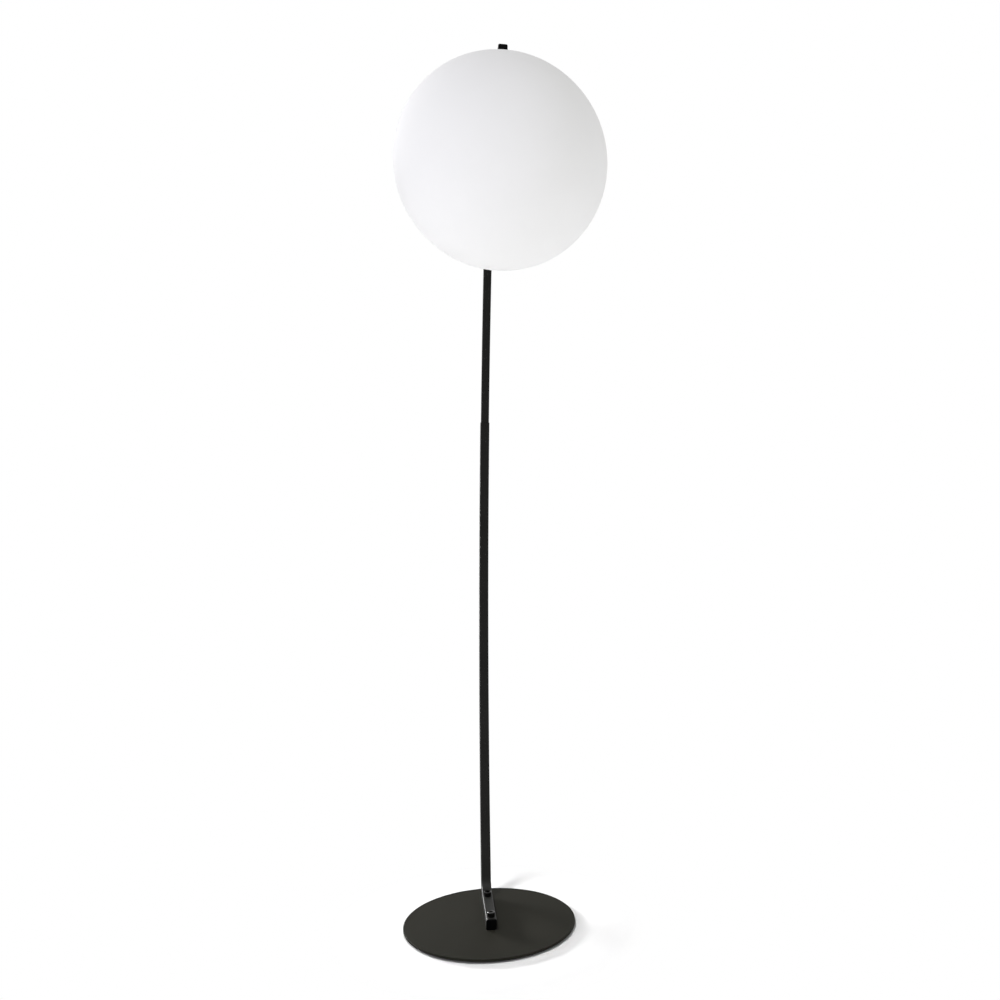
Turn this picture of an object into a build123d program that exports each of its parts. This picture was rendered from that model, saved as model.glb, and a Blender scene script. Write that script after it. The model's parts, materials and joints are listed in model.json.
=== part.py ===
from build123d import *
import math
import os

# Globe floor lamp. Millimetres, +Z up, origin at the centre of the base on the floor.
# The post is a bow of square tube in the plane X = 0. Its foot lies on the base disc, the bow
# stands behind the base (+Y), and its arm comes forward (-Y) over the top of the globe.
# The light module hangs from the arm's end and carries the globe on a bayonet.

# Base disc and the foam pad glued under it
base_diameter = 300
base_thickness = 4
base_edge_radius = 0.8
pad_diameter = 270
pad_thickness = 3

# Square tubes: the upper one plugs into the lower one
lower_width = 18
upper_width = 16
tube_wall = 0.8
tube_corner_radius = 2.5

# Bow: one arc for both tubes, and the same bend at the foot and at the arm
bow_radius = 1900
bow_apex_y = 275
bow_apex_z = 790
bend_radius = 40
foot_front_y = -38
joint_height = 907
joint_overlap = 80

# Black plastic end caps
cap_flange = 2
cap_edge_radius = 0.9
cap_plug_depth = 6
cap_plug_wall = 1.6
cap_plug_clearance = 0.3
cap_rib_count = 2
cap_rib_thickness = 0.8
cap_rib_pitch = 2.2

# Cap screws that hold the foot to the base
foot_screw_front_inset = 12
foot_screw_spacing = 92
screw_head_diameter = 13
screw_head_height = 8
screw_head_edge_radius = 1.2
screw_shank_diameter = 8
screw_socket_size = 6
screw_socket_depth = 4
screw_hole_clearance = 0.2
screw_end_recess = 0.5
spacer_wall = 1.4

# Joint of the two tubes: a stop pin below, and a screw from behind
stop_pin_diameter = 3
joint_screw_drop = 20
joint_screw_diameter = 4
joint_screw_head_diameter = 7.6
joint_screw_head_height = 2.2
joint_screw_socket_size = 2.5
joint_screw_socket_depth = 1.2
joint_screw_hole_clearance = 0.2
joint_nut_size = 7
joint_nut_thickness = 3.2

# Hanger: a shoulder bolt through the arm's lower wall into a square nut
arm_overhang = 14
arm_gap = 3.5
shoulder_diameter = 8
shoulder_clearance = 0.06
bolt_thread_diameter = 6
bolt_thread_length = 10
bolt_head_diameter = 13
bolt_head_height = 5.5
bolt_socket_size = 4
bolt_socket_depth = 2.6
bolt_hole_clearance = 0.2
hanger_nut_size = 10
hanger_nut_thickness = 5
washer_diameter = 22
steel_washer_thickness = 1.5
nylon_washer_thickness = 1
spring_washer_diameter = 17
spring_washer_thickness = 0.6
spring_washer_height = 1.3

# Globe and the bayonet collar bonded into its top opening
globe_diameter = 360
globe_wall = 3
globe_centre_y = -130
globe_centre_z = 1320
collar_bore = 90
collar_wall = 6
collar_depth = 18
collar_flange_width = 9
collar_flange_thickness = 2.5
lug_count = 3
lug_depth = 3
lug_thickness = 4
lug_width_angle = 30
lug_groove_clearance = 0.5
lug_groove_extra_angle = 4
lug_clearance = 0.3
twist_angle = 45
stop_rib_angle = 4
stop_rib_play_angle = 2.5
stop_rib_drop = 3.5
# how far a cutting body passes the faces that it opens
cut_overlap = 1.5

# Module cap: the disc that closes the globe's opening
cap_recess = 0.3
cap_clearance = 0.6
cap_plate_thickness = 3
cap_skirt_wall = 2.4
cap_round = 0.6
boss_diameter = 24
case_screw_diameter = 3
case_screw_head_diameter = 5.6
case_screw_length = 12
case_screw_socket_size = 2
case_screw_socket_depth = 1.2
case_screw_radius = 36.3
case_screw_count = 3

# Module housing below the cap
housing_clearance = 0.3
housing_wall = 2.2
housing_lower_diameter = 70
housing_shoulder_drop = 2
housing_taper = 12
pillar_diameter = 7
pillar_length = 18
ledge_thickness = 2
ledge_width = 3.8

# Control board with its switch and charging port
board_diameter = 63
board_thickness = 1.6
board_head_gap = 1.2
# charge controller, coil and battery connector: middle x, y, then length, width and height
board_parts = [(11, -17, 6, 6, 1), (0, -22, 7, 7, 3.2), (-13, 18, 8, 5, 5)]
switch_size = 6
switch_body_height = 3.5
switch_plunger_diameter = 3.5
switch_plunger_height = 3.1
control_offset = 25
port_length = 8.94
port_width = 3.26
port_shell_wall = 0.3
port_height = 10.8
port_cavity_depth = 6.5
port_tongue_length = 6.7
port_tongue_thickness = 0.7
port_tongue_height = 5
port_slot_clearance = 0.3

# Power button
button_diameter = 14
button_clearance = 0.3
button_proud = 1.2
button_travel = 0.8
button_flange_width = 1.3
button_flange_thickness = 1
button_flange_gap = 0.3
button_stem_diameter = 4
button_stem_gap = 0.1
button_dish_diameter = 8
button_dish_depth = 0.4

# Port cover, hinged between two ears on the cap
cover_length = 7.3
cover_width = 12
cover_thickness = 1.4
cover_gap = 0.1
cover_barrel_radius = 1.3
cover_axis_height = 1.6
cover_axis_offset = 4.5
cover_tongue_clearance = 0.35
cover_tongue_depth = 1.2
trunnion_radius = 0.7
trunnion_clearance = 0.08
trunnion_length = 1.8
ear_thickness = 2
ear_gap = 0.3
ear_radius = 1.5

# Battery cells and their holder
cell_diameter = 18.5
cell_length = 65
cell_count = 3
cell_pitch_radius = 13
cell_nub_diameter = 6
cell_nub_height = 0.8
cell_pocket_clearance = 0.3
cell_pocket_depth = 1.5
holder_floor_thickness = 3
holder_clearance = 0.4
holder_plate_thickness = 2
holder_column_diameter = 6.4
holder_rib_thickness = 2
holder_post_diameter = 5
holder_post_radius = 27
holder_post_height = 3.4

# LED plate, board, chips and diffuser
spreader_thickness = 2.5
spreader_clearance = 0.4
led_board_diameter = 56
led_board_thickness = 1.6
led_chip_count = 12
led_chip_radius = 20
led_chip_size = 3.5
led_chip_height = 0.8
diffuser_wall = 2
diffuser_depth = 14
diffuser_spigot_depth = 2.5
diffuser_spigot_clearance = 0.2
led_lead_diameter = 1.6
led_lead_clearance = 0.3
led_lead_radius = 27
led_lead_angles = (84, 96)

# Places that follow from the sizes above
base_top = pad_thickness + base_thickness
foot_axis_z = base_top + lower_width / 2
foot_top = base_top + lower_width
lower_bore = lower_width - 2 * tube_wall
upper_bore = upper_width - 2 * tube_wall
bow_centre = (bow_apex_y - bow_radius, bow_apex_z)
foot_screw_ys = (foot_front_y + foot_screw_front_inset,
                 foot_front_y + foot_screw_front_inset + foot_screw_spacing)

globe_radius = globe_diameter / 2
arm_underside = globe_radius + arm_gap          # above the globe's centre
arm_axis_z = globe_centre_z + arm_underside + upper_width / 2
arm_end_y = globe_centre_y - arm_overhang

# Heights in the module, measured from the globe's centre
collar_radius = collar_bore / 2
opening_radius = collar_radius + collar_wall
cap_top = math.sqrt(globe_radius ** 2 - collar_radius ** 2) - cap_recess
cap_underside = cap_top - cap_plate_thickness
boss_top = arm_underside - steel_washer_thickness - nylon_washer_thickness
collar_bottom = cap_top - collar_depth
lug_top = collar_bottom - lug_clearance
skirt_bottom = lug_top - lug_thickness
bolt_head_top = cap_underside - nylon_washer_thickness - spring_washer_height
board_top = bolt_head_top - bolt_head_height - board_head_gap
board_bottom = board_top - board_thickness
holder_plate_top = board_bottom - holder_post_height
cell_top = board_bottom - holder_post_height / 2
holder_floor_bottom = cell_top - cell_length + cell_pocket_depth - holder_floor_thickness
ledge_bottom = holder_floor_bottom - ledge_thickness
spreader_bottom = ledge_bottom - spreader_thickness
led_board_bottom = spreader_bottom - led_board_thickness
housing_bottom = spreader_bottom - diffuser_spigot_depth

cap_radius = collar_radius - cap_clearance
skirt_inner_radius = cap_radius - cap_skirt_wall
housing_upper_radius = skirt_inner_radius - housing_clearance
housing_lower_radius = housing_lower_diameter / 2
housing_bore_radius = housing_lower_radius - housing_wall

UP = (Align.CENTER, Align.CENTER, Align.MIN)
DOWN = (Align.CENTER, Align.CENTER, Align.MAX)


def disc(diameter, bottom, height):
    return Pos(0, 0, bottom) * Cylinder(diameter / 2, height, align=UP)


def ring(outer_diameter, inner_diameter, bottom, height):
    return disc(outer_diameter, bottom, height) - disc(inner_diameter, bottom, height)


def ring_sector(inner_radius, outer_radius, bottom, height, mid_angle, width_angle):
    middle = ((inner_radius + outer_radius) / 2, bottom + height / 2)
    section = Plane.XZ * Pos(*middle) * Rectangle(outer_radius - inner_radius, height)
    return Rot(0, 0, mid_angle - width_angle / 2) * revolve(section, Axis.Z, width_angle)


def around(count, start=90):
    return [start + turn * 360 / count for turn in range(count)]


def polar(radius, angle):
    return radius * math.cos(math.radians(angle)), radius * math.sin(math.radians(angle))


def on_sphere(radius, offset):
    # height of a sphere's surface at this distance from its vertical axis
    return math.sqrt(radius ** 2 - offset ** 2)


def sphere_arc(radius, start_offset, end_offset):
    middle = (start_offset + end_offset) / 2
    points = [(offset, on_sphere(radius, offset)) for offset in (start_offset, middle, end_offset)]
    return ThreePointArc(*points)


# Square tubes. An angle on an arc is counted from +Y towards +Z.

def tube_section(width):
    outer = RectangleRounded(width, width, tube_corner_radius)
    inner_width = width - 2 * tube_wall
    return outer - RectangleRounded(inner_width, inner_width, tube_corner_radius - tube_wall)


def bend_centre(height):
    # a bend touches the bow from the inside, so their centres lie this far apart
    reach = bow_radius - bend_radius
    return bow_centre[0] + math.sqrt(reach ** 2 - (height - bow_centre[1]) ** 2), height


def bend_angle(centre):
    return math.degrees(math.atan2(centre[1] - bow_centre[1], centre[0] - bow_centre[0]))


def bow_angle(height):
    return math.degrees(math.asin((height - bow_centre[1]) / bow_radius))


def arc_plane(centre, radius, angle):
    across, up = math.cos(math.radians(angle)), math.sin(math.radians(angle))
    origin = (0, centre[0] + radius * across, centre[1] + radius * up)
    return Plane(origin=origin, x_dir=(1, 0, 0), z_dir=(0, -up, across))


def tube_arc(width, centre, radius, start, end):
    section = arc_plane(centre, radius, start) * tube_section(width)
    return revolve(section, Axis((0, *centre), (1, 0, 0)), end - start)


def tube_run(width, start_y, end_y, height):
    section = Plane(origin=(0, start_y, height), x_dir=(1, 0, 0), z_dir=(0, 1, 0)) * tube_section(width)
    return extrude(section, end_y - start_y)


foot_bend = bend_centre(foot_axis_z + bend_radius)
arm_bend = bend_centre(arm_axis_z - bend_radius)
joint_angle = bow_angle(joint_height)
overlap_angle = math.degrees(joint_overlap / bow_radius)
stop_pin_angle = joint_angle - overlap_angle - math.degrees(stop_pin_diameter / 2 / bow_radius)
joint_screw_angle = joint_angle - math.degrees(joint_screw_drop / bow_radius)


def bow_radial(angle, distance):
    # plane across the tubes' rear face: its normal points out of the bow, away from its centre
    across, up = math.cos(math.radians(angle)), math.sin(math.radians(angle))
    reach = bow_radius + distance
    origin = (0, bow_centre[0] + reach * across, bow_centre[1] + reach * up)
    return Plane(origin=origin, x_dir=(1, 0, 0), z_dir=(0, across, up))


def bow_crossing(angle):
    # plane through the tubes' axis, facing along X
    origin = arc_plane(bow_centre, bow_radius, angle).origin
    return Plane(origin=origin, x_dir=(0, 1, 0), z_dir=(1, 0, 0))


def lower_tube():
    foot = tube_run(lower_width, foot_front_y, foot_bend[0], foot_axis_z)
    meet = bend_angle(foot_bend)
    bend = tube_arc(lower_width, foot_bend, bend_radius, -90, meet)
    bow = tube_arc(lower_width, bow_centre, bow_radius, meet, joint_angle)
    tube = foot + bend + bow
    for y in foot_screw_ys:
        hole_radius = screw_shank_diameter / 2 + screw_hole_clearance
        tube -= Pos(0, y, base_top) * Cylinder(hole_radius, lower_width, align=UP)
    tube -= bow_crossing(stop_pin_angle) * Cylinder(stop_pin_diameter / 2, lower_width)
    return tube - joint_screw_hole()


def joint_screw_hole():
    radius = joint_screw_diameter / 2 + joint_screw_hole_clearance
    return bow_radial(joint_screw_angle, 0) * Cylinder(radius, lower_width / 2, align=UP)


def upper_tube():
    meet = bend_angle(arm_bend)
    bow = tube_arc(upper_width, bow_centre, bow_radius, joint_angle - overlap_angle, meet)
    bend = tube_arc(upper_width, arm_bend, bend_radius, meet, 90)
    arm = tube_run(upper_width, arm_end_y, arm_bend[0], arm_axis_z)
    tube = bow + bend + arm
    hole_radius = bolt_thread_diameter / 2 + bolt_hole_clearance
    tube -= Pos(0, globe_centre_y, arm_axis_z) * Cylinder(hole_radius, upper_width / 2, align=DOWN)
    return tube - joint_screw_hole()


def end_cap(width, end_y, height):
    # flange outside, and a hollow plug with ribs that grip the tube's bore
    bore = width - 2 * tube_wall
    plug_width = bore - 2 * cap_plug_clearance
    core_width = plug_width - 2 * cap_plug_wall
    bore_corner = tube_corner_radius - tube_wall
    flange = extrude(RectangleRounded(width, width, tube_corner_radius), cap_flange)
    flange = fillet(flange.edges().group_by(Axis.Z)[-1], cap_edge_radius)
    plug = extrude(RectangleRounded(plug_width, plug_width, bore_corner), -cap_plug_depth)
    for rib in range(1, cap_rib_count + 1):
        place = Pos(0, 0, -rib * cap_rib_pitch)
        plug += place * extrude(RectangleRounded(bore, bore, bore_corner), -cap_rib_thickness)
    plug -= extrude(Rectangle(core_width, core_width), -cap_plug_depth)
    front = Plane(origin=(0, end_y, height), x_dir=(1, 0, 0), z_dir=(0, -1, 0))
    return front * (flange + plug)


# Fasteners

def hex_socket(size, depth):
    return extrude(RegularPolygon(size / 2, 6, major_radius=False), -depth)


def dome_head(diameter, height):
    # part of a sphere on a flat underside at Z = 0
    sphere_radius = (diameter ** 2 / 4 + height ** 2) / (2 * height)
    sphere = Pos(0, 0, height - sphere_radius) * Sphere(sphere_radius)
    return sphere & Cylinder(diameter / 2, height, align=UP)


def foot_screws():
    shank_length = foot_top - pad_thickness - screw_end_recess
    head = Cylinder(screw_head_diameter / 2, screw_head_height, align=UP)
    screw = fillet(head.edges().group_by(Axis.Z)[-1], screw_head_edge_radius)
    screw += Cylinder(screw_shank_diameter / 2, shank_length, align=DOWN)
    screw -= Pos(0, 0, screw_head_height) * hex_socket(screw_socket_size, screw_socket_depth)
    return Compound([Pos(0, y, foot_top) * screw for y in foot_screw_ys])


def foot_spacers():
    bore = screw_shank_diameter + 2 * screw_hole_clearance
    spacer = ring(bore + 2 * spacer_wall, bore, base_top + tube_wall, lower_bore)
    return Compound([Pos(0, y, 0) * spacer for y in foot_screw_ys])


def stop_pin():
    return bow_crossing(stop_pin_angle) * Cylinder(stop_pin_diameter / 2, lower_width)


def joint_screw():
    face = bow_radial(joint_screw_angle, lower_width / 2)
    length = lower_width / 2 - (upper_bore / 2 - joint_nut_thickness)
    shank = Cylinder(joint_screw_diameter / 2, length, align=DOWN)
    head = dome_head(joint_screw_head_diameter, joint_screw_head_height)
    socket = Pos(0, 0, joint_screw_head_height) * hex_socket(
        joint_screw_socket_size, joint_screw_socket_depth)
    return face * (head + shank - socket)


def square_nut(size, thickness, bore):
    nut = Box(size, size, thickness, align=DOWN)
    return nut - Cylinder(bore / 2, thickness, align=DOWN)


def joint_nut():
    # its outer face is cut to the tube's inner wall, which is a little hollow there
    nut = bow_radial(joint_screw_angle, upper_bore / 2) * square_nut(
        joint_nut_size, joint_nut_thickness, joint_screw_diameter)
    wall_radius = bow_radius + upper_bore / 2
    inside = Cylinder(wall_radius, 2 * joint_nut_size, rotation=(0, 90, 0))
    return nut & Pos(0, *bow_centre) * inside


def hanger_nut():
    top = globe_centre_z + arm_underside + tube_wall + hanger_nut_thickness
    return Pos(0, globe_centre_y, top) * square_nut(
        hanger_nut_size, hanger_nut_thickness, bolt_thread_diameter)


# Parts below here are built round the globe's centre and moved there by place_module.

def place_module(shape):
    return Pos(0, globe_centre_y, globe_centre_z) * shape


def hanger_bolt():
    head = disc(bolt_head_diameter, bolt_head_top - bolt_head_height, bolt_head_height)
    head = fillet(head.edges().group_by(Axis.Z)[0], cap_round)
    shoulder = disc(shoulder_diameter, bolt_head_top, arm_underside - bolt_head_top)
    thread = disc(bolt_thread_diameter, arm_underside, bolt_thread_length)
    socket = Pos(0, 0, bolt_head_top - bolt_head_height + bolt_socket_depth) * hex_socket(
        bolt_socket_size, bolt_socket_depth)
    return head + shoulder + thread - socket


def washer(top, thickness):
    return ring(washer_diameter, shoulder_diameter + 2 * shoulder_clearance, top - thickness, thickness)


def steel_washer():
    return washer(arm_underside, steel_washer_thickness)


def friction_washer():
    return washer(arm_underside - steel_washer_thickness, nylon_washer_thickness)


def thrust_washer():
    return ring(spring_washer_diameter, shoulder_diameter + 2 * shoulder_clearance,
                cap_underside - nylon_washer_thickness, nylon_washer_thickness)


def spring_washer():
    # coned: its outer rim presses up, its inner rim rests on the bolt's head
    inner = shoulder_diameter / 2 + shoulder_clearance
    outer = spring_washer_diameter / 2
    rise = spring_washer_height - spring_washer_thickness
    profile = Polyline((inner, bolt_head_top), (outer, bolt_head_top + rise),
                       (outer, bolt_head_top + spring_washer_height),
                       (inner, bolt_head_top + spring_washer_thickness), close=True)
    return revolve(Plane.XZ * make_face(profile), Axis.Z)


def globe_shell():
    shell = Sphere(globe_radius) - Sphere(globe_radius - globe_wall)
    return shell - disc(2 * opening_radius, 0, globe_radius)


def globe_collar():
    inner_sphere = globe_radius - globe_wall
    flange_sphere = inner_sphere - collar_flange_thickness
    flange_radius = opening_radius + collar_flange_width
    # the flange ends square to the shell
    under_flange_radius = flange_radius * flange_sphere / inner_sphere
    rim = sphere_arc(globe_radius, collar_radius, opening_radius)
    seat = sphere_arc(inner_sphere, opening_radius, flange_radius)
    underside = sphere_arc(flange_sphere, under_flange_radius, opening_radius)
    outline = rim + Line(rim @ 1, seat @ 0) + seat + Line(seat @ 1, underside @ 0) + underside
    outline += Polyline(underside @ 1, (opening_radius, collar_bottom),
                        (collar_radius, collar_bottom), rim @ 0)
    collar = revolve(Plane.XZ * make_face(outline), Axis.Z)
    groove_radius = collar_radius + lug_depth
    for angle in around(lug_count):
        collar -= ring_sector(collar_radius - cut_overlap, groove_radius,
                              collar_bottom - cut_overlap, collar_depth + 2 * cut_overlap,
                              angle - twist_angle, lug_width_angle + lug_groove_extra_angle)
        for stop_angle in stop_rib_angles():
            collar += ring_sector(collar_radius, groove_radius, collar_bottom - stop_rib_drop,
                                  stop_rib_drop, angle + stop_angle, stop_rib_angle)
    return collar


def stop_rib_angles():
    # measured from a lug: one rib stops the locked globe, the other stops it over its grooves
    side = lug_width_angle / 2 + stop_rib_play_angle + stop_rib_angle / 2
    return side, -side - twist_angle


def port_slot():
    length = port_length + 2 * port_slot_clearance
    width = port_width + 2 * port_slot_clearance
    return Pos(control_offset, 0, cap_underside) * Rot(0, 0, 90) * extrude(
        SlotOverall(length, width), cap_plate_thickness)


def cover_axis():
    return control_offset + cover_axis_offset, cap_top + cover_axis_height


def module_cap():
    plate = disc(2 * cap_radius, cap_underside, cap_plate_thickness)
    plate = fillet(plate.edges().group_by(Axis.Z)[-1], cap_round)
    skirt = ring(2 * cap_radius, 2 * skirt_inner_radius, skirt_bottom, cap_underside - skirt_bottom)
    boss = disc(boss_diameter, cap_top, boss_top - cap_top)
    boss = fillet(boss.edges().group_by(Axis.Z)[-1], cap_round)
    cap = plate + skirt + boss
    reach = collar_radius + lug_depth - lug_groove_clearance
    for angle in around(lug_count):
        cap += ring_sector(skirt_inner_radius, reach, skirt_bottom, lug_thickness,
                           angle, lug_width_angle)
    cap -= disc(shoulder_diameter + 2 * shoulder_clearance, cap_underside, boss_top - cap_underside)
    cap -= Pos(-control_offset, 0, 0) * disc(
        button_diameter + 2 * button_clearance, cap_underside, cap_plate_thickness)
    cap -= port_slot()
    for angle in around(case_screw_count):
        x, y = polar(case_screw_radius, angle)
        cap -= Pos(x, y, cap_top) * case_screw(cap_plate_thickness)
    for side in (-1, 1):
        cap += cover_ear(side)
    return cap


def cover_ear(side):
    x, z = cover_axis()
    y = side * (cover_width / 2 + ear_gap + ear_thickness / 2)
    ear = Pos(x, y, z) * Cylinder(ear_radius, ear_thickness, rotation=(90, 0, 0))
    ear += Pos(x, y, cap_top) * Box(2 * ear_radius, ear_thickness, cover_axis_height, align=UP)
    hole = Cylinder(trunnion_radius + trunnion_clearance, ear_thickness, rotation=(90, 0, 0))
    return ear - Pos(x, y, z) * hole


def case_screw(length):
    # countersunk head flush with Z = 0
    head_depth = (case_screw_head_diameter - case_screw_diameter) / 2
    head = Cone(case_screw_diameter / 2, case_screw_head_diameter / 2, head_depth, align=DOWN)
    return head + Cylinder(case_screw_diameter / 2, length, align=DOWN)


def case_screws():
    socket = hex_socket(case_screw_socket_size, case_screw_socket_depth)
    screw = case_screw(case_screw_length) - socket
    places = [polar(case_screw_radius, angle) for angle in around(case_screw_count)]
    return Compound([Pos(x, y, cap_top) * screw for x, y in places])


def module_housing():
    shoulder = skirt_bottom - housing_shoulder_drop
    lower = shoulder - housing_taper
    outer = [(housing_upper_radius, cap_underside), (housing_upper_radius, shoulder),
             (housing_lower_radius, lower), (housing_lower_radius, housing_bottom)]
    inner = [(radius - housing_wall, height) for radius, height in reversed(outer)]
    ledge_radius = housing_bore_radius - ledge_width
    ledge = [(housing_bore_radius, ledge_bottom), (ledge_radius, ledge_bottom),
             (ledge_radius, holder_floor_bottom), (housing_bore_radius, holder_floor_bottom)]
    profile = Polyline(*outer, inner[0], *ledge, *inner[1:], close=True)
    housing = revolve(Plane.XZ * make_face(profile), Axis.Z)
    shell_inside = disc(2 * housing_upper_radius, cap_underside - pillar_length, pillar_length)
    for angle in around(case_screw_count):
        x, y = polar(case_screw_radius, angle)
        pillar = Pos(x, y, 0) * disc(pillar_diameter, cap_underside - pillar_length, pillar_length)
        housing += pillar & shell_inside
    for angle in around(case_screw_count):
        x, y = polar(case_screw_radius, angle)
        depth = case_screw_length - cap_plate_thickness
        housing -= Pos(x, y, 0) * disc(case_screw_diameter, cap_underside - depth, depth)
    return housing


def control_board():
    board = disc(board_diameter, board_bottom, board_thickness)
    for angle in led_lead_angles:
        x, y = polar(led_lead_radius, angle)
        board -= Pos(x, y, 0) * disc(led_lead_diameter, board_bottom, board_thickness)
    for x, y, length, width, height in board_parts:
        board += Pos(x, y, board_top) * Box(length, width, height, align=UP)
    return board


def tact_switch():
    body = Box(switch_size, switch_size, switch_body_height, align=UP)
    plunger = disc(switch_plunger_diameter, switch_body_height, switch_plunger_height)
    return Pos(-control_offset, 0, board_top) * (body + plunger)


def charging_port():
    shell = extrude(SlotOverall(port_length, port_width), port_height)
    cavity = SlotOverall(port_length - 2 * port_shell_wall, port_width - 2 * port_shell_wall)
    shell -= Pos(0, 0, port_height - port_cavity_depth) * extrude(cavity, port_cavity_depth)
    tongue = Box(port_tongue_length, port_tongue_thickness, port_tongue_height, align=UP)
    shell += Pos(0, 0, port_height - port_cavity_depth) * tongue
    return Pos(control_offset, 0, board_top) * Rot(0, 0, 90) * shell


def power_button():
    top = cap_top + button_proud
    flange_top = cap_underside - button_flange_gap
    flange_bottom = flange_top - button_flange_thickness
    plunger_top = board_top + switch_body_height + switch_plunger_height
    stem_bottom = plunger_top + button_travel + button_stem_gap
    body = disc(button_diameter, flange_bottom, top - flange_bottom)
    body = fillet(body.edges().group_by(Axis.Z)[-1], cap_round)
    dish_radius = (button_dish_diameter ** 2 / 4 + button_dish_depth ** 2) / (2 * button_dish_depth)
    body -= Pos(0, 0, top + dish_radius - button_dish_depth) * Sphere(dish_radius)
    flange_diameter = button_diameter + 2 * (button_clearance + button_flange_width)
    flange = disc(flange_diameter, flange_bottom, button_flange_thickness)
    stem = disc(button_stem_diameter, stem_bottom, flange_top - stem_bottom)
    return Pos(-control_offset, 0, 0) * (body + flange + stem)


def port_cover():
    x, z = cover_axis()
    flap_bottom = cap_top + cover_gap
    flap = Pos(x - cover_length / 2, 0, flap_bottom) * Box(
        cover_length, cover_width, cover_thickness, align=UP)
    flap = fillet(flap.edges().filter_by(Axis.Z).group_by(Axis.X)[0], cover_thickness)
    barrel = Pos(x, 0, z) * Cylinder(cover_barrel_radius, cover_width, rotation=(90, 0, 0))
    pins = Pos(x, 0, z) * Cylinder(
        trunnion_radius, cover_width + 2 * trunnion_length, rotation=(90, 0, 0))
    tongue_face = SlotOverall(port_length - 2 * cover_tongue_clearance,
                              port_width - 2 * cover_tongue_clearance)
    tongue = Pos(control_offset, 0, flap_bottom) * Rot(0, 0, 90) * extrude(
        tongue_face, -cover_gap - cover_tongue_depth)
    return flap + barrel + pins + tongue


def cell_places():
    return [polar(cell_pitch_radius, angle) for angle in around(cell_count, -90)]


def battery_cells():
    cell = disc(cell_diameter, cell_top - cell_length, cell_length - cell_nub_height)
    cell += disc(cell_nub_diameter, cell_top - cell_nub_height, cell_nub_height)
    return Compound([Pos(x, y, 0) * cell for x, y in cell_places()])


def battery_holder():
    radius = housing_bore_radius - holder_clearance
    floor = disc(2 * radius, holder_floor_bottom, holder_floor_thickness)
    plate_bottom = holder_plate_top - holder_plate_thickness
    plate = disc(2 * radius, plate_bottom, holder_plate_thickness)
    floor_top = holder_floor_bottom + holder_floor_thickness
    column = disc(holder_column_diameter, floor_top, plate_bottom - floor_top)
    holder = floor + plate + column
    rib_length = holder_post_radius
    for angle in around(cell_count):
        rib = Pos(rib_length / 2, 0, floor_top) * Box(
            rib_length, holder_rib_thickness, plate_bottom - floor_top, align=UP)
        holder += Rot(0, 0, angle) * rib
        # the posts stand beside the leads' holes
        x, y = polar(holder_post_radius, angle + 180 / cell_count)
        holder += Pos(x, y, 0) * disc(holder_post_diameter, holder_plate_top, holder_post_height)
    pocket = cell_diameter + 2 * cell_pocket_clearance
    for x, y in cell_places():
        holder -= Pos(x, y, 0) * disc(pocket, floor_top - cell_pocket_depth, cell_pocket_depth)
        holder -= Pos(x, y, 0) * disc(pocket, plate_bottom, holder_plate_thickness)
    return holder - lead_holes(holder_floor_bottom, holder_plate_top)


def lead_holes(bottom, top):
    diameter = led_lead_diameter + 2 * led_lead_clearance
    places = [polar(led_lead_radius, angle) for angle in led_lead_angles]
    return [Pos(x, y, 0) * disc(diameter, bottom, top - bottom) for x, y in places]


def led_leads():
    places = [polar(led_lead_radius, angle) for angle in led_lead_angles]
    return Compound([Pos(x, y, 0) * disc(led_lead_diameter, spreader_bottom, board_top - spreader_bottom)
                     for x, y in places])


def heat_spreader():
    diameter = 2 * (housing_bore_radius - spreader_clearance)
    return disc(diameter, spreader_bottom, spreader_thickness) - lead_holes(spreader_bottom, ledge_bottom)


def led_board():
    return disc(led_board_diameter, led_board_bottom, led_board_thickness)


def led_chips():
    chip = Box(led_chip_size, led_chip_size, led_chip_height, align=DOWN)
    places = [(angle, polar(led_chip_radius, angle)) for angle in around(led_chip_count)]
    return Compound([Pos(x, y, led_board_bottom) * Rot(0, 0, angle) * chip for angle, (x, y) in places])


def led_diffuser():
    # shallow dome with a spigot that holds the heat spreader against the housing's ledge
    def dome_arc(radius, depth):
        sphere_radius = (radius ** 2 + depth ** 2) / (2 * depth)
        half = radius / 2
        drop = depth - sphere_radius + math.sqrt(sphere_radius ** 2 - half ** 2)
        return ThreePointArc((radius, housing_bottom), (half, housing_bottom - drop),
                             (0, housing_bottom - depth))

    outer = dome_arc(housing_lower_radius, diffuser_depth)
    spigot_outer = housing_bore_radius - diffuser_spigot_clearance
    spigot_inner = spigot_outer - diffuser_wall
    inner = dome_arc(spigot_inner, diffuser_depth - diffuser_wall)
    spigot = Polyline(inner @ 0, (spigot_inner, spreader_bottom), (spigot_outer, spreader_bottom),
                      (spigot_outer, housing_bottom), outer @ 0)
    profile = outer + Line(outer @ 1, inner @ 1) + inner + spigot
    return revolve(Plane.XZ * make_face(profile), Axis.Z)


def base_plate():
    plate = disc(base_diameter, pad_thickness, base_thickness)
    plate = fillet(plate.edges(), base_edge_radius)
    for y in foot_screw_ys:
        plate -= Pos(0, y, 0) * disc(screw_shank_diameter, pad_thickness, base_thickness)
    return plate


def base_pad():
    return disc(pad_diameter, 0, pad_thickness)


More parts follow.
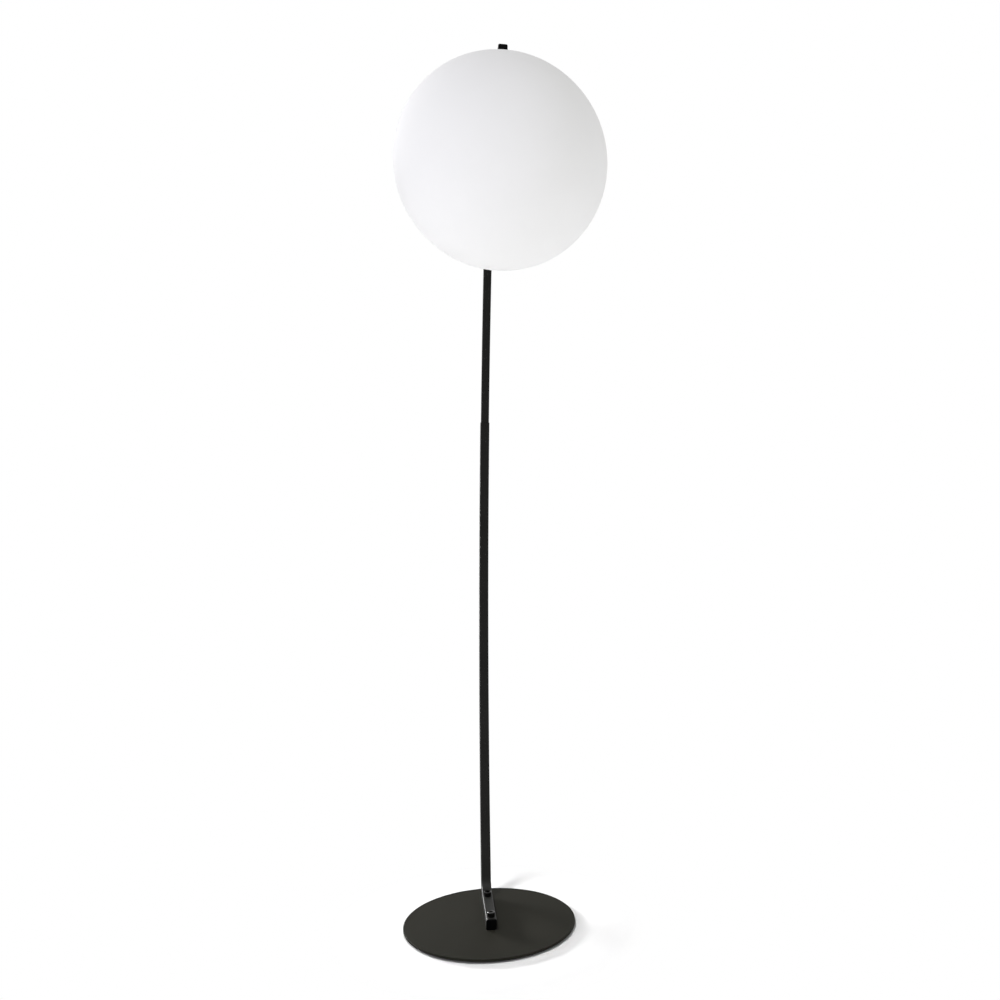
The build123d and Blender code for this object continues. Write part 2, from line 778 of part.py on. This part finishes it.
parts = {
    "base_pad": base_pad(),
    "base_plate": base_plate(),
    "lower_tube": lower_tube(),
    "foot_end_cap": end_cap(lower_width, foot_front_y, foot_axis_z),
    "foot_screws": foot_screws(),
    "foot_spacers": foot_spacers(),
    "stop_pin": stop_pin(),
    "joint_screw": joint_screw(),
    "joint_nut": joint_nut(),
    "upper_tube": upper_tube(),
    "arm_end_cap": end_cap(upper_width, arm_end_y, arm_axis_z),
    "hanger_nut": hanger_nut(),
}
module_parts = [hanger_bolt, steel_washer, friction_washer, thrust_washer, spring_washer,
                module_cap, case_screws, module_housing, control_board, tact_switch, charging_port,
                battery_cells, battery_holder, led_leads, heat_spreader, led_board, led_chips,
                led_diffuser, power_button, port_cover, globe_shell, globe_collar]
for build in module_parts:
    parts[build.__name__] = place_module(build())

os.makedirs("parts", exist_ok=True)
for name, shape in parts.items():
    export_step(shape, f"parts/{name}.step")
    print(f"{name}: {len(shape.solids())} solid(s), {shape.volume / 1000:.2f} cm3")
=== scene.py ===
import json
import math

import bmesh
import bpy
from mathutils import Matrix, Vector

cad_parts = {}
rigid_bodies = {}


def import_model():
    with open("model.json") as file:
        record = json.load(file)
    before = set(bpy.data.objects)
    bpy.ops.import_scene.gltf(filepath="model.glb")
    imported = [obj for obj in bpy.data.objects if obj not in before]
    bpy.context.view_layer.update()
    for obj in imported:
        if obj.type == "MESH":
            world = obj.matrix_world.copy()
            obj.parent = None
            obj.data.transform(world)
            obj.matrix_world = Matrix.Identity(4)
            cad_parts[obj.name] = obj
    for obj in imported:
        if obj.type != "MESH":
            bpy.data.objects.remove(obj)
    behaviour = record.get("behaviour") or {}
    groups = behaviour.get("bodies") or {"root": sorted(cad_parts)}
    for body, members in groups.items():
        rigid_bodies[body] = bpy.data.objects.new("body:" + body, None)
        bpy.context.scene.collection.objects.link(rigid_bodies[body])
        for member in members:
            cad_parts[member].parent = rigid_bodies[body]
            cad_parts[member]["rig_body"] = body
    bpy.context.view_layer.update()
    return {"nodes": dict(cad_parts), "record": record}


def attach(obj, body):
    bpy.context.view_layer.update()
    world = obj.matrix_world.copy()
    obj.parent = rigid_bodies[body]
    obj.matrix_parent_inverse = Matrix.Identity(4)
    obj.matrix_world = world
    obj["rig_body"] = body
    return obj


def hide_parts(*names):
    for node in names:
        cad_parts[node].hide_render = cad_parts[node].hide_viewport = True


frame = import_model()
nodes = frame["nodes"]
mm = 0.001
tiny = 0.001  # in millimetres: closer than this is the same place
across, up = Vector((1, 0, 0)), Vector((0, 0, 1))
print("frame loaded:", len(nodes), "nodes")


# camera: solved from the outlines of the base, the globe and the post
view = {"place": (-0.1266, -1.8292, 0.7571), "turn": (92.578, -0.136, -11.091),
        "lens": 36.39, "sensor": 36, "shift": (-0.12, -0.05)}


def makeCamera():
    camera = bpy.data.objects.new("camera", bpy.data.cameras.new("camera"))
    bpy.context.scene.collection.objects.link(camera)
    camera.location = view["place"]
    camera.rotation_euler = [math.radians(angle) for angle in view["turn"]]
    camera.data.lens = view["lens"]
    camera.data.sensor_width = view["sensor"]
    camera.data.shift_x, camera.data.shift_y = view["shift"]
    bpy.context.scene.camera = camera


makeCamera()
print("camera placed")


# helpers for the finishes; every pattern is in Object coordinates

def addNode(tree, kind, **values):
    node = tree.nodes.new(kind)
    for name, value in values.items():
        node.inputs[name].default_value = value
    return node


def mapRange(tree, *span):
    node = addNode(tree, "ShaderNodeMapRange")
    for name, value in zip(("From Min", "From Max", "To Min", "To Max"), span):
        node.inputs[name].default_value = value
    return node


noiseSpan = (0.3, 0.7)  # the part of a noise pattern that colour and roughness follow


def grain(tree, scale, detail=2.0):
    coordinates = addNode(tree, "ShaderNodeTexCoord")
    noise = addNode(tree, "ShaderNodeTexNoise", Scale=scale, Detail=detail)
    tree.links.new(coordinates.outputs["Object"], noise.inputs["Vector"])
    return noise.outputs["Fac"]


def tint(tree, shader, factor, low, high):
    colours = addNode(tree, "ShaderNodeValToRGB")
    for element, position, colour in zip(colours.color_ramp.elements, noiseSpan, (low, high)):
        element.position = position
        element.color = (*colour, 1)
    tree.links.new(factor, colours.inputs["Fac"])
    tree.links.new(colours.outputs["Color"], shader.inputs["Base Color"])


def vary(tree, shader, socket, factor, low, high):
    spread = mapRange(tree, *noiseSpan, low, high)
    tree.links.new(factor, spread.inputs["Value"])
    tree.links.new(spread.outputs["Result"], shader.inputs[socket])


def roughen(tree, shader, height, distance):
    bump = addNode(tree, "ShaderNodeBump", Strength=1.0, Distance=distance)
    tree.links.new(height, bump.inputs["Height"])
    tree.links.new(bump.outputs["Normal"], shader.inputs["Normal"])


# for each finish: darkest and lightest colour; then the cloudy patches per metre, roughness from
# and to, fine grains per metre and their depth in metres, and the shader's own values
finishes = {
    "plate_coat": (
        (0.0106, 0.0104, 0.0079), (0.0134, 0.0130, 0.0102),
        18, (0.60, 0.68), 1300, 3e-5, {"Specular IOR Level": 0.025}),
    "tube_coat": (
        (0.0063, 0.0063, 0.0055), (0.0083, 0.0083, 0.0074),
        18, (0.40, 0.48), 1300, 3e-5, {"Specular IOR Level": 0.1}),
    "black_plastic": (
        (0.0010, 0.0010, 0.0011), (0.0016, 0.0016, 0.0017),
        60, (0.30, 0.40), 2600, 1e-5, {"Specular IOR Level": 0.05}),
    "black_rubber": (
        (0.012, 0.012, 0.012), (0.018, 0.018, 0.018),
        90, (0.55, 0.68), 3000, 2e-5, {"Specular IOR Level": 0.3}),
    "base_foam": (
        (0.010, 0.010, 0.010), (0.022, 0.022, 0.022),
        500, (0.85, 0.95), 1800, 2e-4, {}),
    "screw_black": (
        (0.0010, 0.0010, 0.0008), (0.0018, 0.0018, 0.0014),
        200, (0.12, 0.18), 1500, 2e-6, {"Specular IOR Level": 0.3}),
    "zinc_steel": (
        (0.50, 0.51, 0.52), (0.62, 0.63, 0.64),
        220, (0.28, 0.42), 2500, 5e-6, {"Metallic": 1.0}),
    "spreader_aluminium": (
        (0.66, 0.67, 0.68), (0.76, 0.77, 0.78),
        120, (0.26, 0.38), 2200, 6e-6, {"Metallic": 1.0}),
    "nylon_white": (
        (0.72, 0.71, 0.67), (0.80, 0.79, 0.75),
        150, (0.40, 0.50), 2400, 1e-5, {"Subsurface Weight": 0.1, "Subsurface Scale": 0.002}),
    "housing_white": (
        (0.76, 0.76, 0.74), (0.82, 0.82, 0.80),
        80, (0.36, 0.44), 2400, 1e-5, {}),
    "board_green": (
        (0.010, 0.075, 0.030), (0.016, 0.105, 0.045),
        260, (0.20, 0.30), 1600, 1e-5, {}),
    "cell_wrap": (
        (0.020, 0.075, 0.220), (0.030, 0.095, 0.270),
        90, (0.16, 0.26), 900, 1e-5, {}),
    "lead_rubber": (
        (0.30, 0.012, 0.010), (0.40, 0.018, 0.014),
        400, (0.40, 0.50), 2600, 1e-5, {}),
    "led_yellow": (
        (0.80, 0.56, 0.10), (0.88, 0.66, 0.16),
        900, (0.22, 0.32), 3000, 5e-6, {}),
    "globe_opal": (
        (0.905, 0.905, 0.905), (0.925, 0.925, 0.925),
        7, (0.56, 0.62), 700, 8e-6, {"Specular IOR Level": 0.12}),
}


def makeFinish(slot):
    dark, light, patches, rough, grainSize, grainDepth, values = finishes[slot]
    finish = bpy.data.materials.new(slot)
    finish.use_nodes = True
    tree = finish.node_tree
    shader = tree.nodes["Principled BSDF"]
    for socket, value in values.items():
        shader.inputs[socket].default_value = value
    clouds = grain(tree, patches, detail=4.0)
    tint(tree, shader, clouds, dark, light)
    vary(tree, shader, "Roughness", clouds, *rough)
    roughen(tree, shader, grain(tree, grainSize), grainDepth)
    return finish


finish = {slot: makeFinish(slot) for slot in finishes}
slotOf = {part["node"]: part["material_slot"] for part in frame["record"]["subparts"]}
for name, node in nodes.items():
    node.data.materials.clear()
    node.data.materials.append(finish[slotOf[name]])
print("finishes made:", len(finish))


# helpers for the pieces, which are modelled in millimetres

def newPiece(name, bm, node, cutters=()):
    bmesh.ops.remove_doubles(bm, verts=bm.verts, dist=tiny)
    bmesh.ops.recalc_face_normals(bm, faces=bm.faces)
    piece = meshObject(name, bm)
    for number, cutter in enumerate(cutters):
        cutAway(piece, meshObject(f"{name}_cutter_{number}", cutter))
    finishShape(piece)
    piece.data.materials.clear()
    piece.data.materials.append(finish[slotOf[node]])
    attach(piece, nodes[node]["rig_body"])
    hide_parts(node)
    return piece


def meshObject(name, bm):
    bmesh.ops.scale(bm, vec=(mm, mm, mm), verts=bm.verts)
    mesh = bpy.data.meshes.new(name)
    bm.to_mesh(mesh)
    bm.free()
    piece = bpy.data.objects.new(name, mesh)
    bpy.context.scene.collection.objects.link(piece)
    return piece


def cutAway(piece, cutter):
    cut = piece.modifiers.new("cut", "BOOLEAN")
    cut.operation, cut.solver, cut.object = "DIFFERENCE", "EXACT", cutter
    whole = piece.data
    graph = bpy.context.evaluated_depsgraph_get()
    piece.data = bpy.data.meshes.new_from_object(piece.evaluated_get(graph))
    piece.modifiers.clear()
    piece.data.name = whole.name.split(".")[0]
    bpy.data.meshes.remove(whole)
    bpy.data.objects.remove(cutter)


def finishShape(piece, sharpAngle=38):
    # smooth shading between sharp edges, with the flats kept flat
    bm = bmesh.new()
    bm.from_mesh(piece.data)
    for face in bm.faces:
        face.smooth = True
    for edge in bm.edges:
        edge.smooth = edge.calc_face_angle(0) < math.radians(sharpAngle)
    bm.to_mesh(piece.data)
    bm.free()
    weighted = piece.modifiers.new("flats", "WEIGHTED_NORMAL")
    weighted.keep_sharp = True


def place(bm, matrix, verts=None):
    bmesh.ops.transform(bm, matrix=matrix, verts=verts or bm.verts)


def cylinder(diameter, height, matrix, segments=48):
    # from the matrix's origin along its Z axis
    bm = bmesh.new()
    bmesh.ops.create_cone(bm, cap_ends=True, segments=segments, radius1=diameter / 2,
                          radius2=diameter / 2, depth=height)
    place(bm, matrix @ Matrix.Translation((0, 0, height / 2)))
    return bm


def roundedSquare(bm, width, radius, steps):
    bmesh.ops.create_grid(bm, x_segments=1, y_segments=1, size=width / 2)
    bmesh.ops.bevel(bm, geom=bm.verts[:], offset=radius, offset_type="OFFSET", segments=steps,
                    profile=0.5, affect="VERTICES", material=-1)
    return bm.faces[:]


def extrudeBy(bm, faces, step):
    made = bmesh.ops.extrude_face_region(bm, geom=faces)["geom"]
    bmesh.ops.translate(bm, vec=step, verts=[v for v in made if isinstance(v, bmesh.types.BMVert)])
    return [f for f in made if isinstance(f, bmesh.types.BMFace)]


# bowed post: an upper square tube plugged into a lower one, one arc through both
post = {
    "lowerWidth": 18, "upperWidth": 16, "wall": 0.8, "cornerRadius": 2.5, "cornerSteps": 5,
    "bowRadius": 1900, "bowCentre": (-1625, 790), "bendRadius": 40,
    "footFront": -38, "footAxis": 16, "armEnd": -144, "armAxis": 1511.5,
    "jointHeight": 907, "overlap": 80, "stopPin": 3, "jointScrewDrop": 20, "screwHole": 4.4,
    "footHole": 8.4, "boltHole": 6.4, "drill": 40,
    "bowSteps": 60, "bendSteps": 16,
}
footScrewPlaces = (-26, 66)  # along the foot, from the disc's middle
globeCentre = Vector((0, -130, 1320))


def bendCentre(height):
    reach = post["bowRadius"] - post["bendRadius"]
    middle = post["bowCentre"]
    return middle[0] + math.sqrt(reach ** 2 - (height - middle[1]) ** 2), height


def angleFromBow(point):
    return math.atan2(point[1] - post["bowCentre"][1], point[0] - post["bowCentre"][0])


def onArc(centre, radius, angle):
    # a frame with Y pointing out of the arc and Z along it
    middle = Matrix.Translation((0, centre[0], centre[1]))
    return middle @ Matrix.Rotation(angle, 4, "X") @ Matrix.Translation((0, radius, 0))


def tubeSection(bm, width, start):
    faces = roundedSquare(bm, width, post["cornerRadius"], post["cornerSteps"])
    wall = bmesh.ops.inset_region(bm, faces=faces, thickness=post["wall"], use_boundary=True,
                                  use_even_offset=True)
    bmesh.ops.delete(bm, geom=faces, context="FACES_ONLY")
    place(bm, start)
    return wall["faces"]


def sweep(bm, faces, centre, angle, steps):
    made = bmesh.ops.spin(bm, geom=faces, cent=(0, *centre), axis=across, angle=angle, steps=steps)
    return [f for f in made["geom_last"] if isinstance(f, bmesh.types.BMFace)]


footBend = bendCentre(post["footAxis"] + post["bendRadius"])
armBend = bendCentre(post["armAxis"] - post["bendRadius"])
quarter = math.radians(90)
jointAngle = math.asin((post["jointHeight"] - post["bowCentre"][1]) / post["bowRadius"])
pinAngle = jointAngle - (post["overlap"] + post["stopPin"] / 2) / post["bowRadius"]
screwAngle = jointAngle - post["jointScrewDrop"] / post["bowRadius"]


def jointHole(width):
    start = onArc(post["bowCentre"], post["bowRadius"], screwAngle)
    return cylinder(post["screwHole"], width, start @ Matrix.Rotation(-quarter, 4, "X"))


def makeLowerTube():
    bm = bmesh.new()
    footStart = Matrix.Translation((0, post["footFront"], post["footAxis"]))
    faces = tubeSection(bm, post["lowerWidth"], footStart @ Matrix.Rotation(-quarter, 4, "X"))
    faces = extrudeBy(bm, faces, (0, footBend[0] - post["footFront"], 0))
    meet = angleFromBow(footBend)
    faces = sweep(bm, faces, footBend, meet + quarter, post["bendSteps"])
    sweep(bm, faces, post["bowCentre"], jointAngle - meet, post["bowSteps"])
    holes = [cylinder(post["footHole"], post["drill"], Matrix.Translation((0, y, 0)))
             for y in footScrewPlaces]
    pin = onArc(post["bowCentre"], post["bowRadius"], pinAngle) @ Matrix.Rotation(quarter, 4, "Y")
    pin = pin @ Matrix.Translation((0, 0, -post["lowerWidth"]))
    holes.append(cylinder(post["stopPin"], 2 * post["lowerWidth"], pin, segments=32))
    holes.append(jointHole(post["lowerWidth"]))
    return newPiece("lower_bow_tube", bm, "lower_tube", holes)


def makeUpperTube():
    bm = bmesh.new()
    start = jointAngle - post["overlap"] / post["bowRadius"]
    faces = tubeSection(bm, post["upperWidth"], onArc(post["bowCentre"], post["bowRadius"], start))
    meet = angleFromBow(armBend)
    faces = sweep(bm, faces, post["bowCentre"], meet - start, post["bowSteps"])
    faces = sweep(bm, faces, armBend, quarter - meet, post["bendSteps"])
    extrudeBy(bm, faces, (0, post["armEnd"] - armBend[0], 0))
    # only through the arm's lower wall, from just under it
    half = post["upperWidth"] / 2
    boltHole = cylinder(post["boltHole"], half,
                        Matrix.Translation((0, globeCentre.y, post["armAxis"] - half - 1)))
    return newPiece("upper_bow_tube", bm, "upper_tube", [boltHole, jointHole(post["upperWidth"])])


makeLowerTube()
makeUpperTube()
print("bowed post made")


# black plastic plugs in the ends of the foot and of the arm
endCap = {"flange": 2, "edge": 0.9, "edgeSteps": 5, "plugDepth": 6, "plugWall": 1.6,
          "clearance": 0.3, "ribs": 2, "ribPitch": 2.2, "ribWidth": 0.8}


def grow(bm, faces, amount):
    # widens or narrows an end face by this much on each side
    made = bmesh.ops.extrude_face_region(bm, geom=faces)["geom"]
    verts = [v for v in made if isinstance(v, bmesh.types.BMVert)]
    middle = sum((v.co for v in verts), Vector()) / len(verts)
    half = max(abs(v.co.x - middle.x) for v in verts)
    factor = (half + amount) / half
    bmesh.ops.scale(bm, vec=(factor, factor, 1), space=Matrix.Translation(-middle), verts=verts)
    return [f for f in made if isinstance(f, bmesh.types.BMFace)]


def makeEndCap(name, node, width, front, height):
    bm = bmesh.new()
    faces = roundedSquare(bm, width, post["cornerRadius"], post["cornerSteps"])
    face = extrudeBy(bm, faces, (0, 0, endCap["flange"]))
    bmesh.ops.bevel(bm, geom=face[0].edges[:], offset=endCap["edge"], offset_type="OFFSET",
                    segments=endCap["edgeSteps"], profile=0.5, affect="EDGES", material=-1)
    back = [f for f in bm.faces if f.calc_center_median().z < tiny]
    back = grow(bm, back, -post["wall"] - endCap["clearance"])
    plain = endCap["ribPitch"] - endCap["ribWidth"]
    for rib in range(endCap["ribs"]):
        back = extrudeBy(bm, back, (0, 0, -(endCap["ribPitch"] if rib == 0 else plain)))
        back = grow(bm, back, endCap["clearance"])
        back = extrudeBy(bm, back, (0, 0, -endCap["ribWidth"]))
        back = grow(bm, back, -endCap["clearance"])
    used = endCap["ribPitch"] * endCap["ribs"] + endCap["ribWidth"]
    back = extrudeBy(bm, back, (0, 0, used - endCap["plugDepth"]))
    back = grow(bm, back, -endCap["plugWall"])
    extrudeBy(bm, back, (0, 0, endCap["plugDepth"]))
    place(bm, Matrix.Translation((0, front, height)) @ Matrix.Rotation(quarter, 4, "X"))
    return newPiece(name, bm, node)


makeEndCap("foot_plug", "foot_end_cap", post["lowerWidth"], post["footFront"], post["footAxis"])
makeEndCap("arm_plug", "arm_end_cap", post["upperWidth"], post["armEnd"], post["armAxis"])
print("end caps made")


# foot: cap screws; joint: a dome-head screw; all with a hexagon socket, and measured from
# under the head; the socket is across its flats, the land is the dome's flat top
footScrew = {"head": 13, "height": 8, "edge": 1.2, "edgeSteps": 6, "steps": 64, "socket": 6,
             "socketDepth": 4, "shank": 8, "length": 21.5, "top": 25}
jointScrew = {"head": 7.6, "height": 2.2, "land": 3.3, "steps": 48, "socket": 2.5,
              "socketDepth": 1.2, "shank": 4, "length": 5}


def domeScrew(sizes, matrix):
    bm = bmesh.new()
    steps = sizes["steps"]
    radius = (sizes["head"] ** 2 / 4 + sizes["height"] ** 2) / (2 * sizes["height"])
    ball = bmesh.ops.create_uvsphere(bm, u_segments=steps, v_segments=steps, radius=radius)["verts"]
    bmesh.ops.translate(bm, vec=(0, 0, sizes["height"] - radius), verts=ball)
    landHeight = sizes["height"] - radius + math.sqrt(radius ** 2 - sizes["land"] ** 2 / 4)
    for height, side in ((0, {"clear_inner": True}), (landHeight, {"clear_outer": True})):
        bmesh.ops.bisect_plane(bm, geom=bm.verts[:] + bm.edges[:] + bm.faces[:], dist=1e-5,
                               plane_co=(0, 0, height), plane_no=up, **side)
    edges = [e for e in bm.edges if e.is_boundary]
    rim = [e for e in edges if e.verts[0].co.z < landHeight / 2]
    land = [e for e in edges if e.verts[0].co.z >= landHeight / 2]
    hexagon = bmesh.ops.create_circle(bm, segments=6, radius=sizes["socket"] / math.sqrt(3),
                                      matrix=Matrix.Translation((0, 0, landHeight)))["verts"]
    hexEdges = list({e for v in hexagon for e in v.link_edges})
    bmesh.ops.bridge_loops(bm, edges=land + hexEdges)
    floor = bmesh.ops.extrude_edge_only(bm, edges=hexEdges)["geom"]
    bmesh.ops.translate(bm, vec=(0, 0, sizes["height"] - sizes["socketDepth"] - landHeight),
                        verts=[g for g in floor if isinstance(g, bmesh.types.BMVert)])
    bmesh.ops.contextual_create(bm, geom=[g for g in floor if isinstance(g, bmesh.types.BMEdge)])
    # underside, shank and its end
    shank = bmesh.ops.create_circle(bm, segments=steps, radius=sizes["shank"] / 2)["verts"]
    shankEdges = list({e for v in shank for e in v.link_edges})
    bmesh.ops.bridge_loops(bm, edges=rim + shankEdges)
    end = bmesh.ops.extrude_edge_only(bm, edges=shankEdges)["geom"]
    bmesh.ops.translate(bm, vec=(0, 0, -sizes["length"]),
                        verts=[g for g in end if isinstance(g, bmesh.types.BMVert)])
    bmesh.ops.contextual_create(bm, geom=[g for g in end if isinstance(g, bmesh.types.BMEdge)])
    place(bm, matrix)
    newPiece("joint_dome_screw", bm, "joint_screw")


def capScrews(sizes):
    bm = cylinder(sizes["head"], sizes["height"], Matrix(), segments=sizes["steps"])
    rim = [e for e in bm.edges if min(v.co.z for v in e.verts) > sizes["height"] - tiny]
    bmesh.ops.bevel(bm, geom=rim, offset=sizes["edge"], offset_type="OFFSET",
                    segments=sizes["edgeSteps"], profile=0.5, affect="EDGES", material=-1)
    under = [f for f in bm.faces if f.calc_center_median().z < tiny]
    bmesh.ops.inset_region(bm, faces=under, thickness=(sizes["head"] - sizes["shank"]) / 2,
                           use_boundary=True, use_even_offset=True)
    extrudeBy(bm, under, (0, 0, -sizes["length"]))
    second = bmesh.ops.duplicate(bm, geom=bm.verts[:] + bm.edges[:] + bm.faces[:])["geom"]
    copied = [g for g in second if isinstance(g, bmesh.types.BMVert)]
    bmesh.ops.translate(bm, vec=(0, footScrewPlaces[1] - footScrewPlaces[0], 0), verts=copied)
    place(bm, Matrix.Translation((0, footScrewPlaces[0], sizes["top"])))
    floor = sizes["top"] + sizes["height"] - sizes["socketDepth"]
    sockets = [cylinder(2 * sizes["socket"] / math.sqrt(3), 2 * sizes["socketDepth"],
                        Matrix.Translation((0, y, floor)), segments=6) for y in footScrewPlaces]
    newPiece("foot_cap_screws", bm, "foot_screws", sockets)


capScrews(footScrew)
rear = onArc(post["bowCentre"], post["bowRadius"] + post["lowerWidth"] / 2, screwAngle)
domeScrew(jointScrew, rear @ Matrix.Rotation(-quarter, 4, "X"))
print("screws made")


# base: a steel disc with softened edges on a foam pad
base = {"diameter": 300, "thickness": 4, "edge": 0.8, "padDiameter": 270, "padThickness": 3,
        "padEdge": 0.5, "steps": 192, "edgeSteps": 4, "screwHole": 8, "drill": 20}


def roundDisc(diameter, bottom, thickness, edge):
    bm = bmesh.new()
    bmesh.ops.create_circle(bm, cap_ends=True, segments=base["steps"], radius=diameter / 2,
                            matrix=Matrix.Translation((0, 0, bottom)))
    extrudeBy(bm, bm.faces[:], (0, 0, thickness))
    rims = [e for e in bm.edges if abs(e.verts[0].co.z - e.verts[1].co.z) < tiny]
    bmesh.ops.bevel(bm, geom=rims, offset=edge, offset_type="OFFSET", segments=base["edgeSteps"],
                    profile=0.5, affect="EDGES", material=-1)
    return bm


def makeBase():
    plate = roundDisc(base["diameter"], base["padThickness"], base["thickness"], base["edge"])
    holes = [cylinder(base["screwHole"], base["drill"], Matrix.Translation((0, y, 0)))
             for y in footScrewPlaces]
    newPiece("base_disc", plate, "base_plate", holes)
    pad = roundDisc(base["padDiameter"], 0, base["padThickness"], base["padEdge"])
    newPiece("base_foam_pad", pad, "base_pad")


makeBase()
print("base made")


# globe: a closed shell with a round opening at the top
globe = {"radius": 180, "wall": 3, "opening": 51, "steps": 160, "profileSteps": 96}


def globeProfile(bm, radius):
    # a vertex at the opening's edge, swept down to the globe's lowest point
    height = math.sqrt(radius ** 2 - globe["opening"] ** 2)
    first = bm.verts.new(globeCentre + Vector((0, globe["opening"], height)))
    sweepAngle = math.pi - math.atan2(globe["opening"], height)
    bmesh.ops.spin(bm, geom=[first], cent=globeCentre, axis=across, angle=-sweepAngle,
                   steps=globe["profileSteps"])
    return first


def makeGlobe():
    bm = bmesh.new()
    outer = globeProfile(bm, globe["radius"])
    inner = globeProfile(bm, globe["radius"] - globe["wall"])
    bm.edges.new((outer, inner))
    bmesh.ops.spin(bm, geom=bm.verts[:] + bm.edges[:], cent=globeCentre, axis=up,
                   angle=math.tau, steps=globe["steps"], use_merge=True)
    return newPiece("opal_globe", bm, "globe_shell")


makeGlobe()
print("globe made")


# studio, in metres: a floor that fades to plain white round the base, and soft lamps, most of
# them from the left; a lamp's spread is in degrees
studio = {
    "floorSize": 40, "floorColour": (0.62, 0.62, 0.62), "floorGlow": 0.43,
    "fadeFrom": 0.18, "fadeTo": 0.28, "skyColour": (1.0, 0.995, 0.985), "skyStrength": 0.605,
}
lamps = {
    "key_left": {"place": (-3.5, -2.6, 2.0), "aim": (0, -0.1, 0.7), "size": (0.8, 1.2),
                 "spread": 180, "power": 43, "colour": (0.885, 0.88, 1.0)},
    "low_rear": {"place": (-2.35, 2.65, 0.86), "aim": (0, 0, 0), "size": (1.2, 0.3),
                 "spread": 28, "power": 9.2, "colour": (1, 1, 1)},
    "high_left": {"place": (-0.78, 0.05, 2.8), "aim": (0, 0.02, 0), "size": (0.35, 0.35),
                  "spread": 20, "power": 0.9, "colour": (1, 1, 1)},
    "fill_right": {"place": (2.6, -1.8, 1.5), "aim": (0, -0.1, 1.0), "size": (1.8, 1.8),
                   "spread": 180, "power": 5, "colour": (1, 1, 1)},
}


def seenWhite(tree):
    # 1 for what the camera, a reflection or clear plastic sees
    rays = addNode(tree, "ShaderNodeLightPath")
    last = rays.outputs["Is Camera Ray"]
    for name in ("Is Glossy Ray", "Is Transmission Ray"):
        either = addNode(tree, "ShaderNodeMath")
        either.operation = "MAXIMUM"
        tree.links.new(last, either.inputs[0])
        tree.links.new(rays.outputs[name], either.inputs[1])
        last = either.outputs["Value"]
    return last


def makeFloor():
    bm = bmesh.new()
    bmesh.ops.create_grid(bm, x_segments=1, y_segments=1, size=studio["floorSize"] / 2 / mm)
    floor = meshObject("floor", bm)
    material = bpy.data.materials.new("white_floor")
    material.use_nodes = True
    tree = material.node_tree
    tree.nodes.remove(tree.nodes["Principled BSDF"])
    paint = addNode(tree, "ShaderNodeBsdfDiffuse", Color=(*studio["floorColour"], 1))
    glow = addNode(tree, "ShaderNodeEmission", Strength=studio["floorGlow"])
    bounce = addNode(tree, "ShaderNodeAddShader")
    white = addNode(tree, "ShaderNodeEmission", Strength=1.0)
    seen = addNode(tree, "ShaderNodeMixShader")
    final = addNode(tree, "ShaderNodeMixShader")
    # further from the lamp the floor fades to plain white
    coordinates = addNode(tree, "ShaderNodeTexCoord")
    length = addNode(tree, "ShaderNodeVectorMath")
    length.operation = "LENGTH"
    fade = mapRange(tree, studio["fadeFrom"], studio["fadeTo"], 0.0, 1.0)
    fade.interpolation_type = "SMOOTHSTEP"
    tree.links.new(coordinates.outputs["Object"], length.inputs[0])
    tree.links.new(length.outputs["Value"], fade.inputs["Value"])
    tree.links.new(paint.outputs[0], bounce.inputs[0])
    tree.links.new(glow.outputs[0], bounce.inputs[1])
    tree.links.new(fade.outputs["Result"], seen.inputs["Fac"])
    tree.links.new(paint.outputs[0], seen.inputs[1])
    tree.links.new(white.outputs[0], seen.inputs[2])
    tree.links.new(seenWhite(tree), final.inputs["Fac"])
    tree.links.new(bounce.outputs[0], final.inputs[1])
    tree.links.new(seen.outputs[0], final.inputs[2])
    tree.links.new(final.outputs[0], tree.nodes["Material Output"].inputs["Surface"])
    floor.data.materials.append(material)


def makeSky():
    world = bpy.data.worlds.new("studio")
    world.use_nodes = True
    tree = world.node_tree
    soft = tree.nodes["Background"]
    soft.inputs["Color"].default_value = (*studio["skyColour"], 1)
    soft.inputs["Strength"].default_value = studio["skyStrength"]
    white = addNode(tree, "ShaderNodeBackground", Color=(1, 1, 1, 1), Strength=1.0)
    mix = addNode(tree, "ShaderNodeMixShader")
    tree.links.new(seenWhite(tree), mix.inputs["Fac"])
    tree.links.new(soft.outputs[0], mix.inputs[1])
    tree.links.new(white.outputs[0], mix.inputs[2])
    tree.links.new(mix.outputs[0], tree.nodes["World Output"].inputs["Surface"])
    bpy.context.scene.world = world


def makeLamps():
    for name, lamp in lamps.items():
        light = bpy.data.lights.new(name, "AREA")
        light.shape = "RECTANGLE"
        light.size, light.size_y = lamp["size"]
        light.energy = lamp["power"]
        light.spread = math.radians(lamp["spread"])
        light.color = lamp["colour"]
        fixture = bpy.data.objects.new(name, light)
        bpy.context.scene.collection.objects.link(fixture)
        fixture.location = lamp["place"]
        aim = Vector(lamp["aim"]) - fixture.location
        fixture.rotation_euler = aim.to_track_quat("-Z", "Y").to_euler()
        fixture.visible_camera = False


makeFloor()
makeSky()
makeLamps()
bpy.context.scene.view_settings.view_transform = "Standard"
print("studio made")
